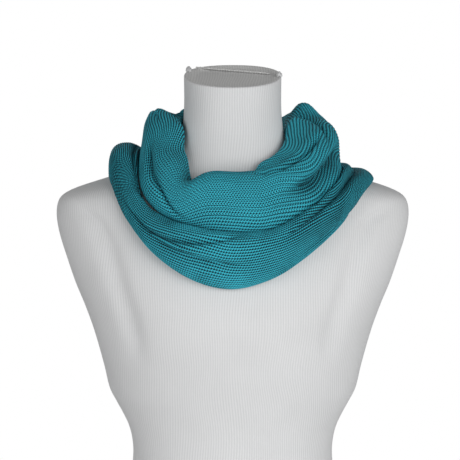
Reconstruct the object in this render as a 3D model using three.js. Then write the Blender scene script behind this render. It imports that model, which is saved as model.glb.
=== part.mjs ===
// A knitted infinity scarf wound twice round a limbless dress form.
// Units are millimetres; +Z is up, the wearer faces -Y and +X is the viewer's right.
import * as THREE from "three";

// The form's level curves: height, half width, reach to the front, reach to the back.
const FORM = [
  { height: 0, half: 164, front: 100, back: 118 },
  { height: 60, half: 169, front: 104, back: 124 },
  { height: 120, half: 161, front: 104, back: 120 },
  { height: 180, half: 140, front: 98, back: 104 },
  { height: 230, half: 118, front: 90, back: 84 },
  { height: 255, half: 114.5, front: 88, back: 78 },
  { height: 275, half: 116, front: 89.5, back: 77 },
  { height: 290, half: 120, front: 91, back: 77.5 },
  { height: 304, half: 126.5, front: 94, back: 79 },
  { height: 318, half: 134, front: 98, back: 82 },
  { height: 332, half: 141, front: 102, back: 85 },
  { height: 360, half: 147.5, front: 110, back: 91 },
  { height: 400, half: 158.5, front: 119, back: 97 },
  { height: 427, half: 168, front: 121, back: 100 },
  { height: 454, half: 179, front: 117, back: 102 },
  { height: 482, half: 188.5, front: 109, back: 102 },
  { height: 509, half: 196.7, front: 99, back: 99 },
  { height: 530, half: 200, front: 91, back: 95 },
  { height: 545, half: 198, front: 85, back: 90 },
  { height: 553, half: 192, front: 82, back: 87 },
  { height: 560, half: 178, front: 79, back: 84 },
  { height: 566, half: 160, front: 77, back: 81 },
  { height: 572, half: 141, front: 74, back: 78 },
  { height: 579, half: 120, front: 71.5, back: 75 },
  { height: 586, half: 100, front: 69, back: 71 },
  { height: 594, half: 82, front: 66, back: 66 },
  { height: 602, half: 69, front: 63, back: 61.5 },
  { height: 612, half: 61.5, front: 60, back: 57 },
  { height: 625, half: 57.5, front: 58, back: 52.5 },
  { height: 650, half: 55, front: 57, back: 48.5 },
  { height: 688, half: 55, front: 57, back: 46 },
];
const FORM_SIDES = 40;          // segments round the form
const FORM_POWER = 2.25;        // superellipse exponent of the form's level curves
const CAP_TILT = 13;            // degrees that the neck cap leans to the front
const CAP_TILT_FROM = 640;      // height at which the neck starts to follow the cap
const CAP_ROUND = 2;            // rounding of the cap's rim

// The scarf is one loop of 720 degrees. Turn 0 is the front, 90 the viewer's right.
// out and up place a ring's middle; width and height are its size; lean raises its outer side.
const LOOP = [
  { turn: -180, out: 84, up: 596, width: 26, height: 52, lean: 0 },
  { turn: -160, out: 80, up: 608, width: 30, height: 54, lean: 0 },
  { turn: -140, out: 79, up: 615, width: 36, height: 54, lean: 2 },
  { turn: -120, out: 78, up: 618, width: 40, height: 54, lean: 6 },
  { turn: -95, out: 78, up: 621, width: 46, height: 56, lean: 4 },
  { turn: -80, out: 79, up: 613, width: 48, height: 62, lean: 12 },
  { turn: -65, out: 84, up: 594, width: 54, height: 68, lean: 26 },
  { turn: -50, out: 92, up: 573, width: 64, height: 74, lean: 32 },
  { turn: -38, out: 96, up: 562, width: 64, height: 70, lean: 30 },
  { turn: -28, out: 102, up: 550, width: 54, height: 50, lean: 12 },
  { turn: -16, out: 101, up: 552, width: 50, height: 66, lean: 12 },
  { turn: 5, out: 100, up: 550, width: 50, height: 70, lean: 12 },
  { turn: 25, out: 101, up: 553, width: 52, height: 72, lean: 16 },
  { turn: 45, out: 104, up: 566, width: 56, height: 78, lean: 24 },
  { turn: 60, out: 100, up: 582, width: 62, height: 74, lean: 26 },
  { turn: 75, out: 92, up: 596, width: 66, height: 68, lean: 20 },
  { turn: 90, out: 88, up: 604, width: 67, height: 66, lean: 6 },
  { turn: 105, out: 89, up: 611, width: 62, height: 60, lean: -8 },
  { turn: 120, out: 95, up: 617, width: 54, height: 60, lean: 0 },
  { turn: 138, out: 106, up: 616, width: 40, height: 52, lean: 0 },
  { turn: 152, out: 119, up: 611, width: 30, height: 46, lean: 0 },
  { turn: 166, out: 125, up: 602, width: 28, height: 50, lean: 0 },
  { turn: 180, out: 124, up: 587, width: 28, height: 54, lean: 0 },
  { turn: 200, out: 122, up: 572, width: 30, height: 54, lean: 0 },
  { turn: 222, out: 118, up: 563, width: 36, height: 52, lean: 0 },
  { turn: 245, out: 118, up: 574, width: 40, height: 46, lean: 0 },
  { turn: 262, out: 120, up: 587, width: 40, height: 44, lean: 0 },
  { turn: 275, out: 119.5, up: 588, width: 40, height: 46, lean: 0 },
  { turn: 290, out: 126, up: 576, width: 38, height: 54, lean: 0 },
  { turn: 305, out: 131, up: 551, width: 34, height: 44, lean: -6 },
  { turn: 322, out: 127, up: 517, width: 40, height: 44, lean: -12 },
  { turn: 340, out: 124, up: 499, width: 40, height: 59, lean: -16 },
  { turn: 360, out: 122, up: 491, width: 38, height: 62, lean: -18 },
  { turn: 380, out: 125, up: 499, width: 40, height: 54, lean: -16 },
  { turn: 395, out: 130, up: 520, width: 42, height: 56, lean: -18 },
  { turn: 410, out: 135, up: 542, width: 42, height: 50, lean: -22 },
  { turn: 425, out: 136.5, up: 562, width: 42, height: 38, lean: -20 },
  { turn: 440, out: 137, up: 570, width: 46, height: 36, lean: -18 },
  { turn: 455, out: 136, up: 572, width: 47, height: 36, lean: -18 },
  { turn: 470, out: 130, up: 569, width: 44, height: 34, lean: -14 },
  { turn: 485, out: 121, up: 560, width: 38, height: 42, lean: -6 },
  { turn: 502, out: 113, up: 555, width: 32, height: 42, lean: 0 },
  { turn: 520, out: 99, up: 563, width: 26, height: 44, lean: 0 },
];
const LOOP_TURN = 720;          // degrees in the whole loop
const SECTION_POWER = 2.6;      // superellipse exponent of a ring's section
const SLIT_AT = 246;            // degrees round a section at which the band's two edges meet
const SLIT = 12;                // degrees that the edges stand apart

// Creases that follow the loop: where they run and how far they reach up and down the section.
// at, middle and end are angles at their start, middle and end; fade is how soon they gain their depth.
// A negative depth is a ridge.
const FOLDS = [
  {
    name: "left pleat", from: -68, to: -22, at: 18, middle: -8, end: -46,
    depth: 9, above: 18, below: 22, fade: 3,
  },
  {
    name: "left back furrow", from: -142, to: -76, at: 64, middle: 96, end: 108,
    depth: 10, above: 18, below: 24, fade: 3,
  },
  {
    name: "right hollow", from: 22, to: 92, at: 5, middle: 3, end: -4,
    depth: 15.5, above: 18, below: 44, fade: 3,
  },
  {
    name: "right inner step", from: 11, to: 66, at: 58, middle: 50, end: 46,
    depth: 8, above: 24, below: 22, fade: 7,
  },
  {
    name: "right inner ridge", from: 15, to: 92, at: 100, middle: 100, end: 100,
    depth: -12, above: 40, below: 22, fade: 9,
  },
  {
    name: "left hollow", from: 262, to: 306, at: 122, middle: 116, end: 112,
    depth: 10, above: 22, below: 26, fade: 3,
  },
  {
    name: "left upper crease", from: 300, to: 368, at: 18, middle: 36, end: 104,
    depth: 11.5, above: 18, below: 26, fade: 3,
  },
  {
    name: "left lower crease", from: 310, to: 372, at: 10, middle: 8, end: 4,
    depth: 7, above: 18, below: 22, fade: 3,
  },
  {
    name: "right pinch", from: 378, to: 490, at: 40, middle: 95, end: 80,
    depth: 4.5, above: 18, below: 30, fade: 4,
  },
  {
    name: "back upper crease", from: 110, to: 230, at: 60, middle: 30, end: 0,
    depth: 5.5, above: 18, below: 22, fade: 3,
  },
  {
    name: "back lower crease", from: 130, to: 240, at: 10, middle: -15, end: -40,
    depth: 4.5, above: 18, below: 22, fade: 3,
  },
  {
    name: "back inner crease", from: 480, to: 590, at: 70, middle: 50, end: 30,
    depth: 4.5, above: 18, below: 22, fade: 3,
  },
];

// Single hollows (and peaks, of negative depth): where they sit and their reach.
const DENTS = [
  { name: "collar notch", turn: -27, at: 100, along: 14, across: 44, depth: 13 },
  { name: "left inner swell", turn: -52, at: 88, along: 20, across: 42, depth: -14 },
  { name: "left outer corner", turn: -92, at: 60, along: 14, across: 30, depth: -4 },
  { name: "left back peak", turn: -132, at: 96, along: 12, across: 36, depth: -3 },
  { name: "right back peak", turn: 120, at: 90, along: 16, across: 36, depth: -9 },
];

const CLOTH = 2.4;              // thickness of the knitted wall
const CLEAR_OF_FORM = 3.0;      // middle of the wall to the form
const CLEAR_OF_UPPER = 3.1;     // middle of the lower turn's wall to that of the upper turn
const ROOM = 6;                 // free space kept round a ring's anchor
const JOIN = 0.09;              // degrees left off each end where the two turns meet
const RINGS = 40;               // rings of each turn
const SHOWN_STEPS = 18;         // section steps on the side that shows
const HIDDEN_STEPS = 4;         // section steps on each half of the hidden side
const ROUND_PASSES = 3;         // passes that soften the corners of a section
const SHOWN_FROM = -56;         // degrees round the section at which the shown side starts
const SHOWN_TO = 136;           // and ends

const CAP_SEAM = { fromX: -42, fromY: 32, toX: 43, toY: 4, width: 4, thick: 0.8, lift: 0.3 };
const EARS = {
  left: { x: -50, y: 18, length: 16, width: 7, height: 4.4 },
  right: { x: 52.5, y: -7, length: 12, width: 7, height: 5 },
};
const EAR_LIFT = 0.3;

const radians = (degrees) => degrees * Math.PI / 180;
const signedPower = (value, power) => Math.sign(value) * Math.abs(value) ** power;

/** A smooth curve through rows of a table, read at a place along its key. */
function curve(rows, key, column, place, period) {
  const wrap = (index) => {
    const count = rows.length;
    if (!period) {
      return rows[Math.min(Math.max(index, 0), count - 1)];
    }
    return rows[(index + count) % count];
  };
  const keyAt = (index) => {
    const count = rows.length;
    if (!period) {
      const edge = Math.min(Math.max(index, 0), count - 1);
      return index < 0 ? 2 * rows[0][key] - rows[1][key]
        : index >= count ? 2 * rows[count - 1][key] - rows[count - 2][key] : rows[edge][key];
    }
    return rows[(index + count) % count][key] + Math.floor(index / count) * period;
  };
  const valueAt = (index) => {
    const count = rows.length;
    if (!period && index < 0) {
      return 2 * rows[0][column] - rows[1][column];
    }
    if (!period && index >= count) {
      return 2 * rows[count - 1][column] - rows[count - 2][column];
    }
    return wrap(index)[column];
  };
  const start = rows[0][key];
  const spot = period ? ((place - start) % period + period) % period + start : place;
  let low = 0;
  while (low < rows.length - (period ? 1 : 2) && keyAt(low + 1) <= spot) {
    low += 1;
  }
  const span = keyAt(low + 1) - keyAt(low);
  const slope = (index) => (valueAt(index + 1) - valueAt(index - 1)) / (keyAt(index + 1) - keyAt(index - 1));
  const t = Math.min(Math.max((spot - keyAt(low)) / span, 0), 1);
  const square = t * t;
  const cube = square * t;
  return (2 * cube - 3 * square + 1) * valueAt(low) + (cube - 2 * square + t) * span * slope(low)
    + (3 * square - 2 * cube) * valueAt(low + 1) + (cube - square) * span * slope(low + 1);
}

function formSize(height) {
  const level = Math.min(Math.max(height, FORM[0].height), FORM[FORM.length - 1].height);
  return {
    half: curve(FORM, "height", "half", level),
    front: curve(FORM, "height", "front", level),
    back: curve(FORM, "height", "back", level),
  };
}

/** True where a point lies in the form grown by a gap on every side. */
function inForm(point, gap) {
  const size = formSize(point.z - gap);
  const reach = point.y < 0 ? size.front : size.back;
  return (Math.abs(point.x) / (size.half + gap)) ** FORM_POWER
    + (Math.abs(point.y) / (reach + gap)) ** FORM_POWER < 1;
}

function ringAt(turn) {
  const read = (column) => curve(LOOP, "turn", column, turn, LOOP_TURN);
  return {
    out: read("out"), up: read("up"), width: read("width"), height: read("height"), lean: radians(read("lean")),
  };
}

/** A crease's place round the section, on a curve through its three angles. */
function creaseAngle(fold, along) {
  const back = 1 - along;
  return fold.at * back * (1 - 2 * along) + fold.middle * 4 * along * back + fold.end * along * (2 * along - 1);
}

/** How far the folds draw the cloth in at one place; ridges count as negative. */
function foldDepth(turn, angle) {
  let total = 0;
  for (const fold of FOLDS) {
    const along = (((turn - fold.from) % LOOP_TURN + LOOP_TURN) % LOOP_TURN) / (fold.to - fold.from);
    if (along < 1) {
      const ramp = Math.min(Math.min(along, 1 - along) * fold.fade, 1);
      const fade = ramp * ramp * (3 - 2 * ramp);
      const away = angle - creaseAngle(fold, along);
      const share = Math.min(Math.abs(away / (away > 0 ? fold.above : fold.below)), 1);
      total += fold.depth * fade * (1 - share) ** 2;
    }
  }
  for (const dent of DENTS) {
    const offset = ((turn - dent.turn + 1.5 * LOOP_TURN) % LOOP_TURN) - LOOP_TURN / 2;
    const share = Math.min(Math.hypot(offset / dent.along, (angle - dent.at) / dent.across), 1);
    total += dent.depth * (1 - share) ** 2;
  }
  return total;
}

function aroundAxis(turn, out, up) {
  return new THREE.Vector3(out * Math.sin(radians(turn)), -out * Math.cos(radians(turn)), up);
}

/** The free middle surface of the cloth, before it meets the form. */
function sectionPoint(turn, angle) {
  const ring = ringAt(turn);
  const across = signedPower(Math.cos(radians(angle)), 2 / SECTION_POWER);
  const upward = signedPower(Math.sin(radians(angle)), 2 / SECTION_POWER);
  const scale = 1 - foldDepth(turn, angle) / ((ring.width + ring.height) / 4);
  const outer = across * ring.width / 2 * scale;
  const upper = upward * ring.height / 2 * scale;
  return aroundAxis(
    turn,
    ring.out + outer * Math.cos(ring.lean) - upper * Math.sin(ring.lean),
    ring.up + outer * Math.sin(ring.lean) + upper * Math.cos(ring.lean),
  );
}

/** True where a point lies in the upper turn's section grown by a gap. */
function inUpperTurn(point, gap) {
  const turn = THREE.MathUtils.radToDeg(Math.atan2(point.x, -point.y));
  const ring = ringAt(turn);
  const out = Math.hypot(point.x, point.y) - ring.out;
  const up = point.z - ring.up;
  const outer = (out * Math.cos(ring.lean) + up * Math.sin(ring.lean)) / (ring.width / 2 + gap);
  const upper = (up * Math.cos(ring.lean) - out * Math.sin(ring.lean)) / (ring.height / 2 + gap);
  const half = SECTION_POWER / 2;
  const raw = THREE.MathUtils.radToDeg(Math.atan2(signedPower(upper, half), signedPower(outer, half)));
  const angle = raw > SLIT_AT - 360 ? raw : raw + 360;
  const scale = 1 - foldDepth(turn, angle) / ((ring.width + ring.height) / 4);
  return (Math.abs(outer) ** SECTION_POWER + Math.abs(upper) ** SECTION_POWER) ** (1 / SECTION_POWER) < scale;
}

/** A ring's middle, moved step by step until it stands in free space. */
function anchorOf(turn, isBlocked, outward) {
  const ring = ringAt(turn);
  let move = 0;
  let anchor = aroundAxis(turn, ring.out, ring.up);
  while (isBlocked(anchor) && move < 30) {
    move += 1;
    anchor = aroundAxis(turn, ring.out + move * outward, ring.up + move * (1 - outward));
  }
  return anchor;
}

/** Draws a point toward its anchor until it leaves what is in its way. */
function pressed(anchor, point, isBlocked) {
  const steps = 12;
  const halvings = 8;
  const at = (share) => anchor.clone().lerp(point, share);
  let free = 1;
  for (let step = 1; step <= steps; step += 1) {
    if (isBlocked(at(step / steps))) {
      let blocked = step / steps;
      free = (step - 1) / steps;
      for (let round = 0; round < halvings; round += 1) {
        const middle = (free + blocked) / 2;
        if (isBlocked(at(middle))) {
          blocked = middle;
        } else {
          free = middle;
        }
      }
      break;
    }
  }
  return at(free);
}

/** Angles round a section, closer together on the side that shows. */
function sectionAngles() {
  const start = SLIT_AT + SLIT / 2 - 360;
  const stop = SLIT_AT - SLIT / 2;
  const angles = [];
  for (let step = 0; step < HIDDEN_STEPS; step += 1) {
    angles.push(start + (SHOWN_FROM - start) * step / HIDDEN_STEPS);
  }
  for (let step = 0; step < SHOWN_STEPS; step += 1) {
    angles.push(SHOWN_FROM + (SHOWN_TO - SHOWN_FROM) * step / SHOWN_STEPS);
  }
  for (let step = 0; step <= HIDDEN_STEPS; step += 1) {
    angles.push(SHOWN_TO + (stop - SHOWN_TO) * step / HIDDEN_STEPS);
  }
  return angles;
}

/** Takes the sharpness off corners that stand out from the anchor, and leaves creases as they are. */
function rounded(row, anchor) {
  let points = row;
  for (let pass = 0; pass < ROUND_PASSES; pass += 1) {
    points = points.map((point, step) => {
      if (step === 0 || step === points.length - 1) {
        return point;
      }
      const middle = points[step - 1].clone().lerp(points[step + 1], 0.5);
      return middle.distanceTo(anchor) < point.distanceTo(anchor) ? point.clone().lerp(middle, 0.5) : point;
    });
  }
  return points;
}

/** The cloth's middle surface as a grid of rings, pressed clear of what it lies on. */
function turnGrid(from, to, isUpper) {
  const angles = sectionAngles();
  const anchorBlocked = isUpper
    ? (point) => inForm(point, ROOM)
    : (point) => inForm(point, ROOM) || inUpperTurn(point, ROOM);
  const clothBlocked = isUpper
    ? (point) => inForm(point, CLEAR_OF_FORM)
    : (point) => inForm(point, CLEAR_OF_FORM) || inUpperTurn(point, CLEAR_OF_UPPER);
  const grid = [];
  for (let ring = 0; ring <= RINGS; ring += 1) {
    const turn = from + (to - from) * ring / RINGS;
    const anchor = anchorOf(turn, anchorBlocked, isUpper ? 0 : 0.5);
    const row = angles.map((angle) => pressed(anchor, sectionPoint(turn, angle), clothBlocked));
    grid.push(rounded(row, anchor));
  }
  return grid;
}

/** The grid's normals, pointing out of the section; at the two ends they stay in the end's plane. */
function gridNormals(grid) {
  const last = grid.length - 1;
  return grid.map((row, ring) => row.map((point, step) => {
    const along = grid[Math.min(ring + 1, last)][step].clone().sub(grid[Math.max(ring - 1, 0)][step]);
    const round = row[Math.min(step + 1, row.length - 1)].clone().sub(row[Math.max(step - 1, 0)]);
    const normal = along.cross(round).normalize();
    if (ring === 0 || ring === last) {
      const sweep = new THREE.Vector3(-point.y, point.x, 0).normalize();
      normal.addScaledVector(sweep, -normal.dot(sweep)).normalize();
    }
    return normal;
  }));
}

/** A closed wall of even thickness about a grid of points. */
function wallGeometry(grid, thickness) {
  const normals = gridNormals(grid);
  const rings = grid.length;
  const steps = grid[0].length;
  const positions = [];
  for (const side of [0.5, -0.5]) {
    for (let ring = 0; ring < rings; ring += 1) {
      for (let step = 0; step < steps; step += 1) {
        const spot = grid[ring][step].clone().addScaledVector(normals[ring][step], side * thickness);
        positions.push(spot.x, spot.y, spot.z);
      }
    }
  }
  const outer = (ring, step) => ring * steps + step;
  const inner = (ring, step) => rings * steps + ring * steps + step;
  const faces = [];
  const quad = (a, b, c, d) => faces.push(a, b, c, a, c, d);
  for (let ring = 0; ring < rings - 1; ring += 1) {
    for (let step = 0; step < steps - 1; step += 1) {
      quad(outer(ring, step), outer(ring + 1, step), outer(ring + 1, step + 1), outer(ring, step + 1));
      quad(inner(ring, step), inner(ring, step + 1), inner(ring + 1, step + 1), inner(ring + 1, step));
    }
    quad(outer(ring, 0), inner(ring, 0), inner(ring + 1, 0), outer(ring + 1, 0));
    quad(outer(ring, steps - 1), outer(ring + 1, steps - 1), inner(ring + 1, steps - 1), inner(ring, steps - 1));
  }
  for (let step = 0; step < steps - 1; step += 1) {
    quad(outer(0, step), outer(0, step + 1), inner(0, step + 1), inner(0, step));
    const end = rings - 1;
    quad(outer(end, step), inner(end, step), inner(end, step + 1), outer(end, step + 1));
  }
  return indexedGeometry(positions, faces);
}

function indexedGeometry(positions, faces) {
  const geometry = new THREE.BufferGeometry();
  geometry.setAttribute("position", new THREE.Float32BufferAttribute(positions, 3));
  geometry.setIndex(faces);
  geometry.computeVertexNormals();
  return geometry;
}

/** Height of the tilted cap over a point of the neck. */
function capHeight(y) {
  return FORM[FORM.length - 1].height + y * Math.tan(radians(CAP_TILT));
}

/** Torso and neck: level curves stacked from the flat hip cut to the tilted cap. */
function formGeometry() {
  const top = FORM[FORM.length - 1];
  const rows = FORM.slice(0, -1).concat([
    { height: top.height - CAP_ROUND, half: top.half, front: top.front, back: top.back },
    {
      height: top.height, half: top.half - CAP_ROUND, front: top.front - CAP_ROUND, back: top.back - CAP_ROUND,
    },
  ]);
  const positions = [];
  for (const row of rows) {
    const follow = Math.min(Math.max((row.height - CAP_TILT_FROM) / (top.height - CAP_TILT_FROM), 0), 1);
    for (let side = 0; side < FORM_SIDES; side += 1) {
      const angle = 2 * Math.PI * side / FORM_SIDES;
      const x = row.half * signedPower(Math.sin(angle), 2 / FORM_POWER);
      const reach = Math.cos(angle) > 0 ? -row.front : row.back;
      const y = reach * Math.abs(Math.cos(angle)) ** (2 / FORM_POWER);
      positions.push(x, y, row.height + follow * y * Math.tan(radians(CAP_TILT)));
    }
  }
  const faces = [];
  const spot = (row, side) => row * FORM_SIDES + side % FORM_SIDES;
  for (let row = 0; row < rows.length - 1; row += 1) {
    for (let side = 0; side < FORM_SIDES; side += 1) {
      faces.push(spot(row, side), spot(row, side + 1), spot(row + 1, side + 1));
      faces.push(spot(row, side), spot(row + 1, side + 1), spot(row + 1, side));
    }
  }
  const bottom = positions.length / 3;
  positions.push(0, 0, rows[0].height);
  positions.push(0, 0, top.height);
  for (let side = 0; side < FORM_SIDES; side += 1) {
    faces.push(bottom, spot(0, side + 1), spot(0, side));
    faces.push(bottom + 1, spot(rows.length - 1, side), spot(rows.length - 1, side + 1));
  }
  return indexedGeometry(positions, faces);
}

/** The raised seam that closes the cover, lying on the tilted cap. */
function capSeamGeometry() {
  const steps = 12;
  const start = new THREE.Vector2(CAP_SEAM.fromX, CAP_SEAM.fromY);
  const stop = new THREE.Vector2(CAP_SEAM.toX, CAP_SEAM.toY);
  const sideways = stop.clone().sub(start).normalize();
  const positions = [];
  for (let step = 0; step <= steps; step += 1) {
    const middle = start.clone().lerp(stop, step / steps);
    for (const [side, lift] of [[-0.5, 0], [0.5, 0], [0.35, 1], [-0.35, 1]]) {
      const x = middle.x - sideways.y * side * CAP_SEAM.width;
      const y = middle.y + sideways.x * side * CAP_SEAM.width;
      positions.push(x, y, capHeight(y) + CAP_SEAM.lift + lift * CAP_SEAM.thick);
    }
  }
  return barGeometry(positions, steps + 1, 4);
}

/** A closed bar through rings of corner points. */
function barGeometry(positions, rings, corners) {
  const faces = [];
  const spot = (ring, corner) => ring * corners + corner % corners;
  for (let ring = 0; ring < rings - 1; ring += 1) {
    for (let corner = 0; corner < corners; corner += 1) {
      faces.push(spot(ring, corner), spot(ring + 1, corner + 1), spot(ring + 1, corner));
      faces.push(spot(ring, corner), spot(ring, corner + 1), spot(ring + 1, corner + 1));
    }
  }
  for (let corner = 1; corner < corners - 1; corner += 1) {
    faces.push(spot(0, 0), spot(0, corner + 1), spot(0, corner));
    faces.push(spot(rings - 1, 0), spot(rings - 1, corner), spot(rings - 1, corner + 1));
  }
  return indexedGeometry(positions, faces);
}

/** The folded end of the seam: a small rounded pad on the cap's rim. */
function earGeometry(ear) {
  const rings = 7;
  const corners = 8;
  const positions = [];
  for (let ring = 0; ring < rings; ring += 1) {
    const along = (ring + 0.5) / rings * 2 - 1;
    const full = Math.sqrt(1 - along * along);
    for (let corner = 0; corner < corners; corner += 1) {
      const angle = Math.PI * 2 * corner / corners;
      const px = ear.x + Math.sin(angle) * full * ear.width / 2;
      const py = ear.y + along * ear.length / 2;
      const lift = Math.max(Math.cos(angle) * full, 0) * ear.height;
      positions.push(px, py, capHeight(py) + EAR_LIFT + lift);
    }
  }
  return barGeometry(positions, rings, corners);
}

const knit = new THREE.MeshStandardMaterial({ color: 0x2f8796, roughness: 0.9 });
const cover = new THREE.MeshStandardMaterial({ color: 0xe6e6e6, roughness: 0.85 });

function named(name, geometry, material) {
  const mesh = new THREE.Mesh(geometry, material);
  mesh.name = name;
  return mesh;
}

const part = new THREE.Group();
part.name = "infinity_scarf_on_form";
part.add(named("form_body", formGeometry(), cover));
part.add(named("form_cap_seam", capSeamGeometry(), cover));
part.add(named("form_seam_ear_left", earGeometry(EARS.left), cover));
part.add(named("form_seam_ear_right", earGeometry(EARS.right), cover));
part.add(named("scarf_upper_turn", wallGeometry(turnGrid(-180 + JOIN, 180 - JOIN, true), CLOTH), knit));
part.add(named("scarf_lower_turn", wallGeometry(turnGrid(180 + JOIN, 540 - JOIN, false), CLOTH), knit));

export default part;
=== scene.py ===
"""A knitted infinity scarf wound twice round a covered dress form.

The tables are in millimetres: +Z is up, the form faces -Y and +X is the viewer's right.
"""

import math
from collections import namedtuple

import bpy
import numpy as np
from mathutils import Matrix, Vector


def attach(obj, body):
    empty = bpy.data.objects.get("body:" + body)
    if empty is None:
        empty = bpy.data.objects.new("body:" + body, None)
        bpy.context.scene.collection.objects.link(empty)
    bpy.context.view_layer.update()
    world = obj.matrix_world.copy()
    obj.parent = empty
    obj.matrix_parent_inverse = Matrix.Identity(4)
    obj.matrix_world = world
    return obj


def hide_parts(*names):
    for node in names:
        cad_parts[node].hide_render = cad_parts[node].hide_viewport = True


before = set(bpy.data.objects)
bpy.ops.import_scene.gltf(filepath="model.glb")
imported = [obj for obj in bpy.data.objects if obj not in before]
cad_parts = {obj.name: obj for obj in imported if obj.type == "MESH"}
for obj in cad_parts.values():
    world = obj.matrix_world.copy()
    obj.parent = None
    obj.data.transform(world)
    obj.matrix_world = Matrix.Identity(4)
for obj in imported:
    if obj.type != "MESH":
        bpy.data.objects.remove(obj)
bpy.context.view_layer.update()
MM = 0.001

# The form's level curves: half width, reach to the front, reach to the back.
Level = namedtuple("Level", "height half front back")
FORM = [
    Level(0, 164, 100, 118),
    Level(60, 169, 104, 124),
    Level(120, 161, 104, 120),
    Level(180, 140, 98, 104),
    Level(230, 118, 90, 84),
    Level(255, 114.5, 88, 78),
    Level(275, 116, 89.5, 77),
    Level(290, 120, 91, 77.5),
    Level(304, 126.5, 94, 79),
    Level(318, 134, 98, 82),
    Level(332, 141, 102, 85),
    Level(360, 147.5, 110, 91),
    Level(400, 158.5, 119, 97),
    Level(427, 168, 121, 100),
    Level(454, 179, 117, 102),
    Level(482, 188.5, 109, 102),
    Level(509, 196.7, 99, 99),
    Level(530, 200, 91, 95),
    Level(545, 198, 85, 90),
    Level(553, 192, 82, 87),
    Level(560, 178, 79, 84),
    Level(566, 160, 77, 81),
    Level(572, 141, 74, 78),
    Level(579, 120, 71.5, 75),
    Level(586, 100, 69, 71),
    Level(594, 82, 66, 66),
    Level(602, 69, 63, 61.5),
    Level(612, 61.5, 60, 57),
    Level(625, 57.5, 58, 52.5),
    Level(650, 55, 57, 48.5),
    Level(688, 55, 57, 46),
]
FORM_POWER = 2.25

# The soft furrow down each side of the chest, where the arm's stump begins.
Furrow = namedtuple("Furrow", "height across")
FURROW = [
    Furrow(550, 177),
    Furrow(527, 151),
    Furrow(503, 138),
    Furrow(463, 126),
    Furrow(427, 114),
    Furrow(400, 107),
    Furrow(360, 101),
]
FURROW_DEPTH = 4.5
FURROW_HALF = 11
FURROW_FADE_LOW = 60
FURROW_FADE_HIGH = 20

# The neck's cap slopes down toward the front; its rim is rounded and its middle dished.
CAP_TILT = math.radians(13)
CAP_TILT_FROM = 640
CAP_ROUND = 2
CAP_DISH = 2.2
CAP_DISH_SHARE = 0.25
CAP_TOP = FORM[-1].height

# The scarf is one loop of 720 degrees. Turn 0 is the front, 90 the viewer's right.
# out and up place a ring's middle; lean raises its outer side.
Ring = namedtuple("Ring", "turn out up width height lean")
LOOP = [
    Ring(-180, 84, 596, 26, 52, 0),
    Ring(-160, 80, 608, 30, 54, 0),
    Ring(-140, 79, 615, 36, 54, 2),
    Ring(-120, 78, 618, 40, 54, 6),
    Ring(-95, 78, 621, 46, 56, 4),
    Ring(-80, 79, 613, 48, 62, 12),
    Ring(-65, 84, 594, 54, 68, 26),
    Ring(-50, 92, 573, 64, 74, 32),
    Ring(-38, 96, 562, 64, 70, 30),
    Ring(-28, 102, 550, 54, 50, 12),
    Ring(-16, 101, 552, 50, 66, 12),
    Ring(5, 100, 550, 50, 70, 12),
    Ring(25, 101, 553, 52, 72, 16),
    Ring(45, 104, 566, 56, 78, 24),
    Ring(60, 100, 582, 62, 74, 26),
    Ring(75, 92, 596, 66, 68, 20),
    Ring(90, 88, 604, 67, 66, 6),
    Ring(105, 89, 611, 62, 60, -8),
    Ring(120, 95, 617, 54, 60, 0),
    Ring(138, 106, 616, 40, 52, 0),
    Ring(152, 119, 611, 30, 46, 0),
    Ring(166, 125, 602, 28, 50, 0),
    Ring(180, 124, 587, 28, 54, 0),
    Ring(200, 122, 572, 30, 54, 0),
    Ring(222, 118, 563, 36, 52, 0),
    Ring(245, 118, 574, 40, 46, 0),
    Ring(262, 120, 587, 40, 44, 0),
    Ring(275, 119.5, 588, 40, 46, 0),
    Ring(290, 126, 576, 38, 54, 0),
    Ring(305, 131, 551, 34, 44, -6),
    Ring(322, 127, 517, 40, 44, -12),
    Ring(340, 124, 499, 40, 59, -16),
    Ring(360, 122, 491, 38, 62, -18),
    Ring(380, 125, 499, 40, 54, -16),
    Ring(395, 130, 520, 42, 56, -18),
    Ring(410, 135, 542, 42, 50, -22),
    Ring(425, 136.5, 562, 42, 38, -20),
    Ring(440, 137, 570, 46, 28, -18),
    Ring(455, 136, 572, 47, 26, -18),
    Ring(470, 130, 569, 44, 28, -14),
    Ring(485, 121, 560, 38, 42, -6),
    Ring(502, 113, 555, 32, 42, 0),
    Ring(520, 99, 563, 26, 44, 0),
]
LOOP_TURN = 720
SECTION_POWER = 2.6
SLIT_AT = 246
SLIT = 12

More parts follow.
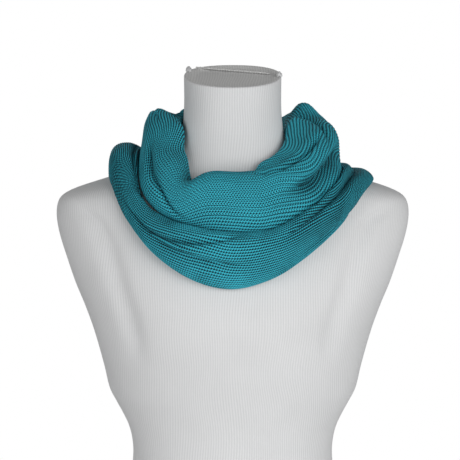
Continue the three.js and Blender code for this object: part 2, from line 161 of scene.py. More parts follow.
# Creases along the loop; angles go round the section, 0 outward and 90 up. Below zero is a ridge.
# at, mid and end place a crease at its start, middle and stop; fade is how soon it gains its depth.
Fold = namedtuple("Fold", "name start stop at mid end depth above below fade")
FOLDS = [
    Fold("left pleat", -68, -22, 18, -8, -46, 10, 18, 12, 3),
    Fold("left back furrow", -142, -76, 64, 96, 108, 11, 16, 24, 3),
    Fold("left face fold", -112, -70, 66, 62, 58, 4, 14, 20, 3),
    Fold("right hollow", 22, 92, 5, 3, -4, 17, 10, 44, 3),
    Fold("right inner step", 11, 66, 58, 50, 46, 9, 24, 10, 7),
    Fold("right inner ridge", 15, 92, 100, 100, 100, -12, 40, 22, 9),
    Fold("right roll edge", 58, 116, 0, 80, 122, 8, 10, 26, 3),
    Fold("left hollow", 262, 306, 122, 116, 112, 11, 22, 26, 3),
    Fold("left upper crease", 300, 368, 18, 36, 104, 13, 12, 26, 3),
    Fold("left lower crease", 310, 372, 10, 8, 4, 8, 12, 22, 3),
    Fold("right pinch", 378, 490, 40, 95, 80, 12, 14, 30, 4),
    Fold("right long crease", 385, 440, -10, -14, -20, 5, 12, 18, 3),
    Fold("back upper crease", 110, 230, 60, 30, 0, 6, 16, 22, 3),
    Fold("back lower crease", 130, 240, 10, -15, -40, 5, 16, 22, 3),
    Fold("back inner crease", 480, 590, 70, 50, 30, 5, 16, 22, 3),
]
FOLD_SOFT = 0.006
DENT_SOFT = 0.03

Dent = namedtuple("Dent", "name turn at along across depth")
DENTS = [
    Dent("collar notch", -24, 100, 14, 44, 17),
    Dent("left front swell", -38, 108, 16, 44, -14),
    Dent("left inner swell", -59, 94, 25, 50, -21),
    Dent("left inner dip", -98, 114, 20, 34, 13),
    Dent("left gap", 311, 104, 14, 34, 15),
    Dent("left outer corner", -92, 60, 14, 30, -5),
    Dent("left back peak", -134, 96, 14, 36, -7),
    Dent("right back peak", 120, 90, 16, 36, -12),
]

# Painted shade: places where the knit's grooves show deeper and darker and its colour is darkened,
# standing in for shade.
ShadePatch = namedtuple("ShadePatch", "name turn at along across amount")
SHADE_PATCHES = [
    ShadePatch("left hump", 292, 30, 26, 110, 0.9),
    ShadePatch("left lower band", 320, 35, 18, 60, 0.4),
    ShadePatch("left standing roll", -54, 40, 26, 70, 0.2),
    ShadePatch("left inner wall", -42, 138, 26, 50, 1.6),
    ShadePatch("right roll", 60, 45, 22, 60, 0.1),
    ShadePatch("right hump", 424, 60, 16, 60, 0.2),
    ShadePatch("right lower band", 400, 45, 24, 80, 1.0),
]

# The cloth's thickness, and how much smaller its middle surface is than a ring's outline.
CLOTH = 2.0
TRIM = 2.0

# How far the middle surface and a ring's anchor stay from what the cloth lies on.
CLEAR_OF_FORM = 3.0
CLEAR_OF_UPPER = 3.1
ROOM = 6
ANCHOR_STEPS = 30
ANCHOR_PASSES = 8

# Degrees of the loop left out at each end of a turn, where the two turns meet at the nape.
JOIN = 0.09
ROUND_DEGREES = 3
ROUND_PASSES = 2
GRID_PASSES = 2

RIBS = 50
RIB_HEIGHT = 0.36
RIB_POWER = 0.8
RIB_PASSES = 6
STITCH = 2.5
# How deep a crease is where its painted shade is strongest.
CREASE_SHADE_DEPTH = 11

# The front of the upper turn is stretched open round turn 0, which flattens its ribs.
OPEN_AT = 20
OPEN_ALONG = 46
OPEN_ACROSS = 48
OPEN_FLATTENS = 0.85

# The inner wall takes every fourth ring and every third step of the outer one.
OUTER_RINGS = 240
OUTER_STEPS = 360
INNER_EVERY = (4, 3)


def carried_on(values):
    """A row of numbers with one more at each end, in a straight line."""
    return np.concatenate([[2 * values[0] - values[1]], values, [2 * values[-1] - values[-2]]])


def curve(rows, column, place, period=None):
    """A smooth curve through a table, read at places along its first column."""
    keys = np.array([row[0] for row in rows], float)
    values = np.array([getattr(row, column) for row in rows], float)
    place = np.asarray(place, float)
    if period:
        keys_round = np.concatenate([keys[-2:] - period, keys, keys[:3] + period])
        values_round = np.concatenate([values[-2:], values, values[:3]])
        place = (place - keys[0]) % period + keys[0]
    else:
        keys_round = carried_on(keys)
        values_round = carried_on(values)
    slopes = np.zeros_like(values_round)
    slopes[1:-1] = (values_round[2:] - values_round[:-2]) / (keys_round[2:] - keys_round[:-2])
    low = np.clip(np.searchsorted(keys_round, place, side="right") - 1, 1, len(keys_round) - 3)
    span = keys_round[low + 1] - keys_round[low]
    share = np.clip((place - keys_round[low]) / span, 0, 1)
    return (
        (2 * share**3 - 3 * share**2 + 1) * values_round[low]
        + (share**3 - 2 * share**2 + share) * span * slopes[low]
        + (3 * share**2 - 2 * share**3) * values_round[low + 1]
        + (share**3 - share**2) * span * slopes[low + 1]
    )


def signed_power(value, power):
    return np.sign(value) * np.abs(value) ** power


def smooth_step(value):
    value = np.clip(value, 0, 1)
    return value * value * (3 - 2 * value)


def form_size(height):
    level = np.clip(height, FORM[0].height, CAP_TOP)
    return [curve(FORM, column, level) for column in ("half", "front", "back")]


def in_form(points, gap):
    """True where a point lies in the form grown by a gap on every side."""
    half, front, back = form_size(points[..., 2] - gap)
    reach = np.where(points[..., 1] < 0, front, back)
    across = np.abs(points[..., 0]) / (half + gap)
    deep = np.abs(points[..., 1]) / (reach + gap)
    return across**FORM_POWER + deep**FORM_POWER < 1


def ring_at(turn):
    return [curve(LOOP, column, turn, LOOP_TURN) for column in Ring._fields[1:]]


def crease_angle(fold, along):
    """A crease's angle round the section: a curve through its start, middle and stop."""
    from_start = fold.at * (1 - along) * (1 - 2 * along)
    from_middle = fold.mid * 4 * along * (1 - along)
    from_stop = fold.end * along * (2 * along - 1)
    return from_start + from_middle + from_stop


def turn_offset(turn, middle):
    """Degrees from a place on the loop to another, the short way round."""
    return (turn - middle + LOOP_TURN / 2) % LOOP_TURN - LOOP_TURN / 2


def fold_depth(turn, angle):
    """How far the creases and dents draw the cloth in; ridges and swells are negative."""
    total = np.zeros(np.broadcast(turn, angle).shape)
    for fold in FOLDS:
        along = (turn - fold.start) % LOOP_TURN / (fold.stop - fold.start)
        fade = smooth_step(np.minimum(along, 1 - along) * fold.fade)
        away = angle - crease_angle(fold, np.clip(along, 0, 1))
        share = np.sqrt(np.where(away > 0, away / fold.above, away / fold.below) ** 2 + FOLD_SOFT)
        total += fold.depth * fade * np.maximum(1 - share, 0) ** 2
    for dent in DENTS:
        along = turn_offset(turn, dent.turn) / dent.along
        across = (angle - dent.at) / dent.across
        share = np.sqrt(along**2 + across**2 + DENT_SOFT)
        total += dent.depth * np.maximum(1 - share, 0) ** 2
    return total


def shade_patch_at(turn, angle):
    """How much painted shade, with deeper grooves, lies on the knit at a place."""
    total = np.zeros(np.broadcast(turn, angle).shape)
    for shade_patch in SHADE_PATCHES:
        along = turn_offset(turn, shade_patch.turn) / shade_patch.along
        across = (angle - shade_patch.at) / shade_patch.across
        total += shade_patch.amount * np.exp(-(along**2) - across**2)
    return total


def around_axis(turn, out, up):
    turn = np.radians(turn)
    return np.stack([out * np.sin(turn), -out * np.cos(turn), up], -1)


def section_point(turn, angle):
    """The free middle surface of the cloth, before it meets the form."""
    out, up, width, height, lean = ring_at(turn)
    width = width - TRIM
    height = height - TRIM
    lean = np.radians(lean)
    scale = 1 - fold_depth(turn, angle) / ((width + height) / 4)
    outer = signed_power(np.cos(np.radians(angle)), 2 / SECTION_POWER) * width / 2 * scale
    upper = signed_power(np.sin(np.radians(angle)), 2 / SECTION_POWER) * height / 2 * scale
    return around_axis(
        turn,
        out + outer * np.cos(lean) - upper * np.sin(lean),
        up + outer * np.sin(lean) + upper * np.cos(lean),
    )


def in_upper_turn(points, gap):
    """True where a point lies in the upper turn's section grown by a gap."""
    turn = np.degrees(np.arctan2(points[..., 0], -points[..., 1]))
    ring_out, ring_up, width, height, lean = ring_at(turn)
    lean = np.radians(lean)
    out = np.hypot(points[..., 0], points[..., 1]) - ring_out
    up = points[..., 2] - ring_up
    outer = (out * np.cos(lean) + up * np.sin(lean)) / (width / 2 + gap)
    upper = (up * np.cos(lean) - out * np.sin(lean)) / (height / 2 + gap)
    half = SECTION_POWER / 2
    angle = np.degrees(np.arctan2(signed_power(upper, half), signed_power(outer, half)))
    angle = np.where(angle > SLIT_AT - 360, angle, angle + 360)
    scale = 1 - fold_depth(turn, angle) / ((width + height) / 4)
    reach = (np.abs(outer) ** SECTION_POWER + np.abs(upper) ** SECTION_POWER) ** (1 / SECTION_POWER)
    return reach < scale


def anchors_of(turn, is_blocked, outward):
    """Each ring's middle, moved step by step until it stands in free space."""
    out, up = ring_at(turn)[:2]
    move = np.zeros_like(out)
    for _ in range(ANCHOR_STEPS):
        anchors = around_axis(turn, out + move * outward, up + move * (1 - outward))
        move = np.where(is_blocked(anchors), move + 1, move)
    move = smoothed(move, ANCHOR_PASSES)
    return around_axis(turn, out + move * outward, up + move * (1 - outward))


def smoothed(grid, passes):
    """Evens a grid out along the loop and keeps its two end rings."""
    for _ in range(passes):
        inside = (grid[:-2] + 2 * grid[1:-1] + grid[2:]) / 4
        grid = np.concatenate([grid[:1], inside, grid[-1:]])
    return grid


def pressed(anchors, points, is_blocked, steps=12, halvings=7):
    """Draws points toward their anchors until they leave what is in their way."""
    free = np.zeros(points.shape[:-1])
    blocked = np.ones(points.shape[:-1])
    found = np.zeros(points.shape[:-1], bool)

    def at(share):
        return anchors + (points - anchors) * np.asarray(share)[..., None]

    for step in range(1, steps + 1):
        share = step / steps
        hit = is_blocked(at(share)) & ~found
        blocked = np.where(hit, share, blocked)
        free = np.where(found | hit, free, share)
        found |= hit
    for _ in range(halvings):
        middle = (free + blocked) / 2
        hit = is_blocked(at(middle))
        blocked = np.where(found & hit, middle, blocked)
        free = np.where(found & ~hit, middle, free)
    return at(np.where(found, free, 1.0))


def rounded(grid, anchors, reach):
    """Takes the sharpness off corners that stand out from the anchors, and leaves creases."""
    steps = np.arange(grid.shape[1])
    near = np.minimum(np.minimum(steps, steps[::-1]), reach)
    for _ in range(ROUND_PASSES):
        middle = (grid[:, steps - near] + grid[:, steps + near]) / 2
        inside = np.linalg.norm(middle - anchors, axis=-1) < np.linalg.norm(grid - anchors, axis=-1)
        grid = np.where(inside[..., None], (grid + middle) / 2, grid)
    return grid


def turn_grid(start, stop, is_upper):
    """The cloth's middle surface as a fine grid of rings, clear of what it lies on."""
    turns = np.linspace(start, stop, OUTER_RINGS + 1)
    angles = np.linspace(SLIT_AT + SLIT / 2 - 360, SLIT_AT - SLIT / 2, OUTER_STEPS + 1)
    turn, angle = np.meshgrid(turns, angles, indexing="ij")
    if is_upper:
        anchors = anchors_of(turn, lambda p: in_form(p, ROOM), 0)
        grid = pressed(anchors, section_point(turn, angle), lambda p: in_form(p, CLEAR_OF_FORM))
    else:
        anchors = anchors_of(turn, lambda p: in_form(p, ROOM) | in_upper_turn(p, ROOM), 0.5)
        grid = pressed(
            anchors,
            section_point(turn, angle),
            lambda p: in_form(p, CLEAR_OF_FORM) | in_upper_turn(p, CLEAR_OF_UPPER),
        )
    reach = round(ROUND_DEGREES * OUTER_STEPS / (360 - SLIT))
    return smoothed(rounded(grid, anchors, reach), GRID_PASSES), turn, angle


def grid_normals(grid):
    along = np.gradient(grid, axis=0)
    across = np.gradient(grid, axis=1)
    normals = np.cross(along, across)
    return normals / np.maximum(np.linalg.norm(normals, axis=-1, keepdims=True), 1e-9)


def rib_index(grid):
    """Counts ribs round each section by its length, so they run along the loop."""
    lengths = np.linalg.norm(np.diff(grid, axis=1), axis=-1)
    run = np.concatenate([np.zeros((len(grid), 1)), np.cumsum(lengths, axis=1)], axis=1)
    return smoothed(run / run[:, -1:] * RIBS, RIB_PASSES)


def stitch_index(turns):
    """Counts stitches along the loop's middle line, which is measured at every half degree."""
    fine = np.linspace(LOOP[0].turn, LOOP[0].turn + LOOP_TURN, 2 * LOOP_TURN + 1)
    out, up = ring_at(fine)[:2]
    line = around_axis(fine, out, up)
    run = np.concatenate([[0], np.cumsum(np.linalg.norm(np.diff(line, axis=0), axis=-1))])
    return np.interp(turns, fine, run) / STITCH


def grid_faces(rows, columns, start=0, flip=False, wrap=False):
    """Quads of a grid of vertices, counted row by row."""
    faces = []
    for row in range(rows - 1):
        for column in range(columns if wrap else columns - 1):
            after = (column + 1) % columns
            quad = (
                start + row * columns + column,
                start + (row + 1) * columns + column,
                start + (row + 1) * columns + after,
                start + row * columns + after,
            )
            faces.append(quad[::-1] if flip else quad)
    return faces


def new_piece(name, vertices, faces, materials):
    mesh = bpy.data.meshes.new(name)
    mesh.from_pydata((np.asarray(vertices) * MM).tolist(), [], faces)
    mesh.update()
    mesh.polygons.foreach_set("use_smooth", [True] * len(mesh.polygons))
    for material in materials:
        mesh.materials.append(material)
    piece = bpy.data.objects.new(name, mesh)
    bpy.context.scene.collection.objects.link(piece)
    return piece


def set_uv(piece, values, name="knit"):
    """Gives every corner of every face its vertex's pair of values."""
    mesh = piece.data
    layer = mesh.uv_layers.new(name=name)
    corners = np.zeros(len(mesh.loops), dtype=np.int64)
    mesh.loops.foreach_get("vertex_index", corners)
    layer.data.foreach_set("uv", np.asarray(values, np.float32)[corners].ravel())


def cloth_piece(name, start, stop, is_upper, material):
    """One turn of the scarf: a closed thin shell, ribbed outside and plainer within."""
    middle, turn, angle = turn_grid(start, stop, is_upper)
    normals = grid_normals(middle)
    ribs = rib_index(middle)
    open_knit = np.zeros_like(turn)
    if is_upper:
        along = np.exp(-((turn / OPEN_ALONG) ** 2))
        across = np.exp(-(((angle - OPEN_AT) / OPEN_ACROSS) ** 2))
        open_knit = along * across
    wave = 2 * np.abs(np.sin(np.pi * ribs)) ** RIB_POWER - 1
    relief = RIB_HEIGHT * (1 - OPEN_FLATTENS * open_knit) * wave
    outer = middle + normals * (CLOTH / 2 + relief)[..., None]
    every_ring, every_step = INNER_EVERY
    inner = (middle - normals * CLOTH / 2)[::every_ring, ::every_step]
    rows, columns = outer.shape[:2]
    inner_rows, inner_columns = inner.shape[:2]
    base = rows * columns
    faces = grid_faces(rows, columns)
    faces += grid_faces(inner_rows, inner_columns, base, flip=True)

    def outer_at(row, column):
        return row * columns + column

    def inner_at(row, column):
        return base + row * inner_columns + column

    for row in range(inner_rows - 1):
        for column, inner_column, reverse in ((0, 0, False), (columns - 1, inner_columns - 1, True)):
            edge = [outer_at(row * every_ring + step, column) for step in range(every_ring, -1, -1)]
            face = edge + [inner_at(row, inner_column), inner_at(row + 1, inner_column)]
            faces.append(face[::-1] if reverse else face)
    for column in range(inner_columns - 1):
        for row, inner_row, reverse in ((0, 0, True), (rows - 1, inner_rows - 1, False)):
            edge = [outer_at(row, column * every_step + step) for step in range(every_step, -1, -1)]
            face = edge + [inner_at(inner_row, column), inner_at(inner_row, column + 1)]
            faces.append(face[::-1] if reverse else face)
    vertices = np.concatenate([outer.reshape(-1, 3), inner.reshape(-1, 3)])
    piece = new_piece(name, vertices, faces, [material])
    wales_and_courses = np.stack([ribs, stitch_index(turn)], -1)
    inner_uv = wales_and_courses[::every_ring, ::every_step]
    set_uv(piece, np.concatenate([wales_and_courses.reshape(-1, 2), inner_uv.reshape(-1, 2)]))
    # Painted shade: the depth of the creases and dents, and the shade patches, darken the knit's
    # colour.
    stored = {
        "open_knit": open_knit,
        "painted_crease_shade": np.clip(fold_depth(turn, angle) / CREASE_SHADE_DEPTH, 0, 1),
        "patch_shade": shade_patch_at(turn, angle),
    }
    for layer_name, values in stored.items():
        layer = piece.data.attributes.new(layer_name, "FLOAT", "POINT")
        spread = np.concatenate([values.ravel(), values[::every_ring, ::every_step].ravel()])
        layer.data.foreach_set("value", spread.astype(np.float32))
    return piece


class Shader:
    """A material's nodes; each method returns the socket that it makes."""

    def __init__(self, name):
        self.material = bpy.data.materials.new(name)
        self.material.use_nodes = True
        self.tree = self.material.node_tree
        self.surface = self.tree.nodes["Principled BSDF"]

    def add(self, kind, **settings):
        made = self.tree.nodes.new(kind)
        for key, value in settings.items():
            setattr(made, key, value)
        return made

    def feed(self, socket, value):
        if isinstance(value, bpy.types.NodeSocket):
            self.tree.links.new(value, socket)
        else:
            socket.default_value = value

    def math(self, operation, *values, clamp=False):
        made = self.add("ShaderNodeMath", operation=operation, use_clamp=clamp)
        for socket, value in zip(made.inputs, values):
            self.feed(socket, value)
        return made.outputs[0]

    def wave(self, phase):
        """From 0 to 1 and back once for each whole step of the phase."""
        turned = self.math("COSINE", self.math("MULTIPLY", phase, 2 * math.pi))
        return self.scaled(turned, 0.5, 0.5)

    def mix(self, factor, low, high):
        made = self.add("ShaderNodeMix", data_type="RGBA")
        self.feed(made.inputs["Factor"], factor)
        self.feed(made.inputs[6], low)
        self.feed(made.inputs[7], high)
        return made.outputs[2]

    def scaled(self, value, factor, plus=0.0):
        """A value times a factor, with another added to it."""
        return self.math("MULTIPLY_ADD", value, factor, plus)

    def stored(self, name):
        """A value kept at each point of the mesh."""
        return self.add("ShaderNodeAttribute", attribute_name=name).outputs["Fac"]

    def drift(self, scale, detail, spread):
        """Noise about zero, from half a spread below it to half a spread above."""
        return self.scaled(self.noise(scale, detail), spread, -spread / 2)

    def noise(self, scale, detail=2.0):
        place = self.add("ShaderNodeTexCoord").outputs["Object"]
        made = self.add("ShaderNodeTexNoise")
        self.feed(made.inputs["Vector"], place)
        self.feed(made.inputs["Scale"], scale)
        self.feed(made.inputs["Detail"], detail)
        return made.outputs["Fac"]

    def uv(self):
        split = self.add("ShaderNodeSeparateXYZ")
        self.feed(split.inputs[0], self.add("ShaderNodeUVMap", uv_map="knit").outputs["UV"])
        return split.outputs["X"], split.outputs["Y"]

    def bump(self, height, distance, strength=1.0):
        made = self.add("ShaderNodeBump")
        self.feed(made.inputs["Height"], height)
        self.feed(made.inputs["Distance"], distance)
        self.feed(made.inputs["Strength"], strength)
        self.feed(self.surface.inputs["Normal"], made.outputs["Normal"])

    def finish(self, **values):
        """Sets the surface's sockets by their names, and gives back the material."""
        for key, value in values.items():
            socket = key.replace("_", " ").title().replace("Ior", "IOR")
            self.feed(self.surface.inputs[socket], value)
        return self.material


# Teal yarn, from the shade in a groove to the lit side of a stitch.
YARN_DARK = (0.0, 0.010, 0.015, 1)
YARN_LIGHT = (0.050, 0.530, 0.670, 1)
YARN_SHEEN = (0.30, 0.80, 0.90, 1)

# A leg of a stitch slants by this share of a stitch, from a rib's middle to its side.
LEG_SLANT = 0.6
GROOVE_POWER = 1.5

# Columns of small holes to a rib where the knit is stretched open.
FINE_HOLES = 1.7


def knit_material():
    """Ribbed jersey in teal yarn: V stitches up each rib and open holes between the ribs."""
    made = Shader("teal_knit")
    open_knit = made.stored("open_knit")
    painted_crease_shade = made.stored("painted_crease_shade")
    patch_shade = made.stored("patch_shade")
    rib, course = made.uv()
    rib = made.math("ADD", rib, made.drift(34.0, 2.0, 0.7))
    course = made.math("ADD", course, made.drift(41.0, 2.0, 0.8))

    # The ribs: two slanted legs of each stitch, and a groove between ribs that holes deepen.
    middle = made.math("MULTIPLY", made.math("PINGPONG", rib, 0.5), 2.0)
    beside = made.math("SUBTRACT", 1.0, middle)
    own_shift = made.math("MULTIPLY", made.math("FLOOR", rib), 0.5)
    leg = made.wave(made.math("ADD", made.scaled(middle, LEG_SLANT, course), own_shift))
    between = made.math("MULTIPLY", made.math("ROUND", rib), 0.5)
    opening = made.wave(made.math("ADD", course, between))
    narrow = made.math("POWER", beside, GROOVE_POWER)
    groove = made.math("MULTIPLY", narrow, made.scaled(opening, 1.15, 0.35))
    # Painted shade: the shade patches deepen the grooves, which darkens them in colour and in the
    # bump.
    groove = made.math("MULTIPLY", groove, made.scaled(patch_shade, 0.8, 1.0))
    ribbed = made.math("SUBTRACT", made.scaled(leg, 0.5, 0.5), groove)

    # The stretched front: a finer net of holes takes the place of the ribs.
    fine = made.math("MULTIPLY", rib, FINE_HOLES)
    fine_shift = made.math("MULTIPLY", made.math("ROUND", fine), 0.5)
    fine_wave = made.wave(made.math("ADD", course, fine_shift))
    fine_opening = made.math("MULTIPLY", made.wave(fine), fine_wave)
    fine_groove = made.math("MULTIPLY", fine_opening, 1.25)
    spread = made.math("SUBTRACT", made.scaled(leg, 0.45, 0.48), fine_groove)
    height = made.math(
        "ADD",
        made.math("MULTIPLY", spread, open_knit),
        made.math("MULTIPLY", ribbed, made.math("SUBTRACT", 1.0, open_knit)),
    )

    # The colour follows the height, with painted shade in the grooves and flecks of fibre; painted
    # shade darkens it further in creases and in the shade patches.
    lit = made.math("ADD", made.scaled(height, 1.15), made.drift(900.0, 3.0, 0.4))
    shade = made.math("ADD", made.drift(26.0, 3.0, 0.24), made.math("MULTIPLY", painted_crease_shade, -0.35))
    shade = made.scaled(patch_shade, -0.12, shade)
    lit = made.math("ADD", lit, shade, clamp=True)
    colour = made.mix(lit, YARN_DARK, YARN_LIGHT)
    made.bump(height, 0.0006, 0.8)
    return made.finish(
        base_color=colour,
        roughness=0.85,
        sheen_weight=0.06,
        sheen_roughness=0.4,
        sheen_tint=YARN_SHEEN,
        specular_ior_level=0.2,
    )


# The white jersey's wales and courses in millimetres, and how dark it is between them.
WALE = 2.8
COURSE = 1.5
COVER_DARK = 0.74


def cover_material(name, tone):
    """White jersey stretched over the form, with fine upright wales."""
    made = Shader(name)
    across, along = made.uv()
    across = made.math("ADD", across, made.drift(9.0, 1.0, 26.0))
    wale = made.wave(made.math("DIVIDE", across, WALE))
    course = made.wave(made.math("DIVIDE", along, COURSE))
    weave = made.scaled(course, 0.25, made.math("MULTIPLY", wale, 0.75))
    cloud = made.noise(14.0, 3.0)
    shares = [made.math("MULTIPLY", weave, 0.6), made.math("MULTIPLY", cloud, 0.4)]
    lit = made.math("ADD", *shares, clamp=True)
    dark = tuple(COVER_DARK * channel for channel in tone)
    colour = made.mix(lit, (*dark, 1), (*tone, 1))
    made.bump(weave, 0.00025, 0.5)
    return made.finish(
        base_color=colour,
        roughness=0.88,
        sheen_weight=0.12,
        sheen_roughness=0.5,
        specular_ior_level=0.2,
    )


THREAD_DARK = (0.60, 0.60, 0.59, 1)
THREAD_LIGHT = (0.85, 0.85, 0.84, 1)


def thread_material():
    made = Shader("seam_thread")
    colour = made.mix(made.noise(1200.0), THREAD_DARK, THREAD_LIGHT)
    made.bump(made.noise(2500.0), 0.0001, 0.5)
    return made.finish(base_color=colour, roughness=0.7)


# The form's mesh; its cap ends in a small flat face, this share of the cap across.
FORM_SIDES = 160
FORM_ROWS = 230
RIM_ROWS = 5
CAP_ROWS = 24
CAP_MIDDLE = 0.02


def furrow_at(height, x):
    """How deep the chest's side furrows press into the form."""
    rising = FURROW[::-1]
    middle = np.interp(height, [row.height for row in rising], [row.across for row in rising])
    foot = smooth_step((height - rising[0].height) / FURROW_FADE_LOW)
    head = smooth_step((rising[-1].height - height) / FURROW_FADE_HIGH)
    return FURROW_DEPTH * foot * head * np.exp(-(((np.abs(x) - middle) / FURROW_HALF) ** 2))


def form_grid():
    """Rings from the flat hip cut to the neck's rounded, slightly dished cap."""
    heights = np.linspace(0, CAP_TOP - CAP_ROUND, FORM_ROWS)
    rows = [(height, 0.0, 1.0) for height in heights]
    for step in range(1, RIM_ROWS + 1):
        bend = step / RIM_ROWS * math.pi / 2
        height = CAP_TOP - CAP_ROUND + CAP_ROUND * math.sin(bend)
        rows.append((height, CAP_ROUND * (1 - math.cos(bend)), 1.0))
    for step in range(1, CAP_ROWS + 1):
        share = 1 - step / CAP_ROWS
        dish = CAP_DISH * smooth_step((1 - share) / CAP_DISH_SHARE)
        rows.append((CAP_TOP - dish, CAP_ROUND, max(share, CAP_MIDDLE)))
    angle = np.linspace(0, 2 * math.pi, FORM_SIDES, endpoint=False)
    grid = []
    for height, inset, share in rows:
        half, front, back = form_size(height)
        reach = np.where(np.cos(angle) > 0, -(front - inset), back - inset)
        x = (half - inset) * signed_power(np.sin(angle), 2 / FORM_POWER) * share
        y = reach * np.abs(np.cos(angle)) ** (2 / FORM_POWER) * share
        deep = np.where(y < 0, furrow_at(height, x), 0)
        x = x * (1 - deep / half)
        y = y * (1 - deep / front)
        follow = np.clip((height - CAP_TILT_FROM) / (CAP_TOP - CAP_TILT_FROM), 0, 1)
        grid.append(np.stack([x, y, height + follow * y * math.tan(CAP_TILT)], -1))
    return np.array(grid)


def form_piece(cover, lit_cap_cover):
    """The covered form, its wales counted from the front and back middles to the side seams."""
    grid = form_grid()
    rows, sides = grid.shape[:2]
    faces = grid_faces(rows, sides, flip=True, wrap=True)
    faces.append(tuple(range(sides))[::-1])
    faces.append(tuple((rows - 1) * sides + side for side in range(sides)))
    piece = new_piece("form_cover", grid.reshape(-1, 3), faces, [cover, lit_cap_cover])
    closed = np.concatenate([grid, grid[:, :1]], axis=1)
    run = np.cumsum(np.linalg.norm(np.diff(closed, axis=1), axis=-1), axis=1)
    run = np.concatenate([np.zeros((rows, 1)), run], axis=1)
    climb = np.linalg.norm(np.diff(grid, axis=0), axis=-1).mean(axis=1)
    climb = np.concatenate([[0], np.cumsum(climb)])
    layer = piece.data.uv_layers.new(name="knit")
    body_rows = FORM_ROWS + RIM_ROWS - 1
    for face in piece.data.polygons:
        row, side = divmod(face.index, sides)
        if row >= body_rows:
            face.material_index = 1
        for corner in face.loop_indices:
            index = piece.data.loops[corner].vertex_index
            own_row, own_side = divmod(index, sides)
            if row >= body_rows or row >= rows - 1:
                value = tuple(grid[own_row, own_side, :2])
            else:
                if side == sides - 1 and own_side == 0:
                    own_side = sides
                length = run[own_row, own_side]
                whole = run[own_row, -1]
                if side < sides / 4:
                    across = length
                elif side < 3 * sides / 4:
                    across = length - whole / 2
                else:
                    across = length - whole
                value = (across, climb[own_row])
            layer.data[corner].uv = value
    return piece


# The cap's seam, its half width, and its own height above the cap.
CAP_SEAM_FROM = np.array([-42.0, 32.0])
CAP_SEAM_TO = np.array([43.0, 4.0])
CAP_SEAM_HALF = 2.0
CAP_SEAM_MIDDLE = 0.45
CAP_SEAM_RISE = 0.55
CAP_SEAM_STEPS = 60
CAP_SEAM_CORNERS = 10
PUCKER = 0.12
PUCKER_TURN = 1.9


def cap_height(y):
    return CAP_TOP + y * math.tan(CAP_TILT)


def on_cap_seam(share, beside):
    """A place on the cap, by its share of the seam's way and its distance beside it."""
    whole = CAP_SEAM_TO - CAP_SEAM_FROM
    way = whole / np.linalg.norm(whole)
    return CAP_SEAM_FROM + whole * share + np.array([-way[1], way[0]]) * beside


def cap_seam_piece(material):
    """The raised line that closes the cover."""
    vertices = []
    for step in range(CAP_SEAM_STEPS + 1):
        rise = CAP_SEAM_RISE + PUCKER * math.sin(step * PUCKER_TURN)
        for corner in range(CAP_SEAM_CORNERS):
            bend = 2 * math.pi * corner / CAP_SEAM_CORNERS
            x, y = on_cap_seam(step / CAP_SEAM_STEPS, math.cos(bend) * CAP_SEAM_HALF)
            vertices.append((x, y, cap_height(y) + CAP_SEAM_MIDDLE + rise * math.sin(bend)))
    faces = grid_faces(CAP_SEAM_STEPS + 1, CAP_SEAM_CORNERS, flip=True, wrap=True)
    faces.append(tuple(range(CAP_SEAM_CORNERS)))
    last = CAP_SEAM_STEPS * CAP_SEAM_CORNERS
    faces.append(tuple(last + corner for corner in range(CAP_SEAM_CORNERS))[::-1])
    piece = new_piece("cap_seam", vertices, faces, [material])
    set_uv(piece, np.array(vertices)[:, :2])
    return piece


def thread_piece(name, points, radius, material):
    """A round thread along a line of points, as a bevelled curve made into a mesh."""
    line = bpy.data.curves.new(name, "CURVE")
    line.dimensions = "3D"
    line.bevel_depth = radius * MM
    line.bevel_resolution = 2
    spline = line.splines.new("POLY")
    spline.points.add(len(points) - 1)
    for spot, point in zip(spline.points, points):
        spot.co = (*[value * MM for value in point], 1)
    holder = bpy.data.objects.new(name + "_line", line)
    bpy.context.scene.collection.objects.link(holder)
    bpy.context.view_layer.update()
    mesh = bpy.data.meshes.new_from_object(holder.evaluated_get(bpy.context.evaluated_depsgraph_get()))
    bpy.data.objects.remove(holder)
    mesh.name = name
    mesh.materials.clear()
    mesh.materials.append(material)
    piece = bpy.data.objects.new(name, mesh)
    bpy.context.scene.collection.objects.link(piece)
    return piece


# The zigzag starts and stops a little inside the seam's ends.
ZIGZAGS = 34
ZIGZAG_START = 0.03
ZIGZAG_SHARE = 0.94
ZIGZAG_HALF = 1.7
ZIGZAG_HEIGHT = 0.95
THREAD_RADIUS = 0.28


def zigzag_points():
    """The sewing that holds the cap's seam down, back and forth across it."""
    points = []
    for step in range(ZIGZAGS + 1):
        share = ZIGZAG_START + ZIGZAG_SHARE * step / ZIGZAGS
        x, y = on_cap_seam(share, ZIGZAG_HALF if step % 2 else -ZIGZAG_HALF)
        points.append((x, y, cap_height(y) + ZIGZAG_HEIGHT))
    return points


Ear = namedtuple("Ear", "x y length width height lift")
EARS = {
    "form_seam_ear_left": Ear(-50, 18, 18, 7, 4.4, 0.3),
    "form_seam_ear_right": Ear(52.5, -7, 12, 7, 5, 0.3),
}


EAR_RINGS = 28
EAR_CORNERS = 28

# The crease in each ear's back: its depth as a share, its place and slant in radians, its half width.
EAR_CREASE = 0.22
EAR_CREASE_AT = 0.55
EAR_CREASE_SLANT = 0.3
EAR_CREASE_HALF = 0.22


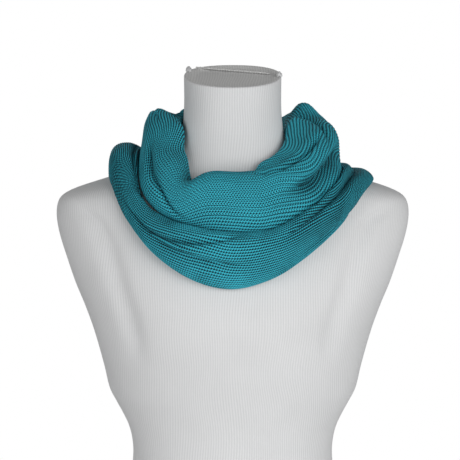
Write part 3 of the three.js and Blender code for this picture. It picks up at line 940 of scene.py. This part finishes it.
def ear_piece(name, ear, material):
    """A folded end of the cover, tucked into a small pad on the cap's rim."""
    vertices = []
    for ring in range(EAR_RINGS):
        along = (ring + 0.5) / EAR_RINGS * 2 - 1
        full = math.sqrt(1 - along * along)
        for corner in range(EAR_CORNERS):
            bend = 2 * math.pi * corner / EAR_CORNERS
            from_crease = (bend - EAR_CREASE_AT - EAR_CREASE_SLANT * along) / EAR_CREASE_HALF
            crease = 1 - EAR_CREASE * math.exp(-(from_crease**2))
            x = ear.x + math.sin(bend) * full * ear.width / 2
            y = ear.y + along * ear.length / 2
            rise = max(math.cos(bend) * full, 0) * ear.height * crease
            vertices.append((x, y, cap_height(y) + ear.lift + rise))
    faces = grid_faces(EAR_RINGS, EAR_CORNERS, wrap=True)
    faces.append(tuple(range(EAR_CORNERS))[::-1])
    last = (EAR_RINGS - 1) * EAR_CORNERS
    faces.append(tuple(last + corner for corner in range(EAR_CORNERS)))
    piece = new_piece(name + "_cover", vertices, faces, [material])
    set_uv(piece, np.array(vertices)[:, :2])
    return piece


# Big soft lamps low at each side and one behind, in metres and watts.
Lamp = namedtuple("Lamp", "name place aim energy size")
LAMPS = [
    Lamp("key", (1.3, -1.9, 0.75), (0, 0, 0.52), 42, 1.8),
    Lamp("fill", (-1.6, -1.6, 0.65), (0, 0, 0.5), 22, 1.8),
    Lamp("back", (-0.5, 2.2, 1.0), (0, 0, 0.5), 16, 1.6),
]
AMBIENT = 0.13
FLOOR_RADIUS = 0.95
FLOOR_SIDES = 96

# The photograph's frame, at the form's axis; the rest is in metres.
PHOTO_WIDTH = 460
MM_PER_PIXEL = 1.14
CAMERA_DISTANCE = 2.0
CAMERA_RISE = math.radians(6)
CAMERA_TARGET = Vector((-0.003, 0, 0.5115))
SENSOR = 36


def add_light(lamp):
    light = bpy.data.lights.new(lamp.name, "AREA")
    light.energy = lamp.energy
    light.size = lamp.size
    holder = bpy.data.objects.new(lamp.name, light)
    holder.location = lamp.place
    aim = Vector(lamp.aim) - Vector(lamp.place)
    holder.rotation_euler = aim.to_track_quat("-Z", "Y").to_euler()
    bpy.context.scene.collection.objects.link(holder)


def add_camera():
    """Looks at the form from the front and a little above."""
    camera = bpy.data.cameras.new("camera")
    camera.sensor_width = SENSOR
    camera.lens = SENSOR * CAMERA_DISTANCE / (PHOTO_WIDTH * MM_PER_PIXEL * MM)
    holder = bpy.data.objects.new("camera", camera)
    away = Vector((0, -math.cos(CAMERA_RISE), math.sin(CAMERA_RISE)))
    holder.location = CAMERA_TARGET + away * CAMERA_DISTANCE
    holder.rotation_euler = (math.pi / 2 - CAMERA_RISE, 0, 0)
    bpy.context.scene.collection.objects.link(holder)
    bpy.context.scene.camera = holder


def add_world():
    """White all round for the camera, and a softer grey as light."""
    world = bpy.data.worlds.new("studio")
    bpy.context.scene.world = world
    world.use_nodes = True
    nodes = world.node_tree.nodes
    links = world.node_tree.links
    seen = nodes["Background"]
    seen.inputs["Color"].default_value = (1, 1, 1, 1)
    seen.inputs["Strength"].default_value = 1.0
    light = nodes.new("ShaderNodeBackground")
    light.inputs["Color"].default_value = (1, 1, 1, 1)
    light.inputs["Strength"].default_value = AMBIENT
    path = nodes.new("ShaderNodeLightPath")
    mix = nodes.new("ShaderNodeMixShader")
    links.new(path.outputs["Is Camera Ray"], mix.inputs[0])
    links.new(light.outputs[0], mix.inputs[1])
    links.new(seen.outputs[0], mix.inputs[2])
    links.new(mix.outputs[0], nodes["World Output"].inputs["Surface"])


def add_floor():
    mesh = bpy.data.meshes.new("floor")
    bends = [2 * math.pi * side / FLOOR_SIDES for side in range(FLOOR_SIDES)]
    rim = [(FLOOR_RADIUS * math.cos(bend), FLOOR_RADIUS * math.sin(bend), 0) for bend in bends]
    mesh.from_pydata(rim, [], [tuple(range(FLOOR_SIDES))])
    made = Shader("studio_floor")
    mesh.materials.append(made.finish(base_color=(0.86, 0.86, 0.86, 1), roughness=0.9))
    floor = bpy.data.objects.new("floor", mesh)
    bpy.context.scene.collection.objects.link(floor)


knit = knit_material()
cover = cover_material("white_jersey", (0.76, 0.765, 0.77))
# Painted light: the cap's jersey is the body's fabric made lighter, so that the upward-facing cap
# shows brighter under the low lamps.
lit_cap_cover = cover_material("cap_jersey_lit", (0.80, 0.80, 0.79))
thread = thread_material()

form = form_piece(cover, lit_cap_cover)
seam = cap_seam_piece(lit_cap_cover)
stitches = thread_piece("cap_seam_thread", zigzag_points(), THREAD_RADIUS, thread)
ears = {node: ear_piece(node, ear, cover) for node, ear in EARS.items()}
upper = cloth_piece("scarf_upper", LOOP[0].turn + JOIN, 180 - JOIN, True, knit)
lower = cloth_piece("scarf_lower", 180 + JOIN, 540 - JOIN, False, knit)

for piece in (form, seam, stitches, upper, lower, *ears.values()):
    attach(piece, "root")
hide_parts("form_body")
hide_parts("form_cap_seam")
for node, piece in ears.items():
    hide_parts(node)
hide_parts("scarf_upper_turn")
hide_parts("scarf_lower_turn")

add_camera()
add_world()
add_floor()
for lamp in LAMPS:
    add_light(lamp)
bpy.context.scene.view_settings.view_transform = "Standard"
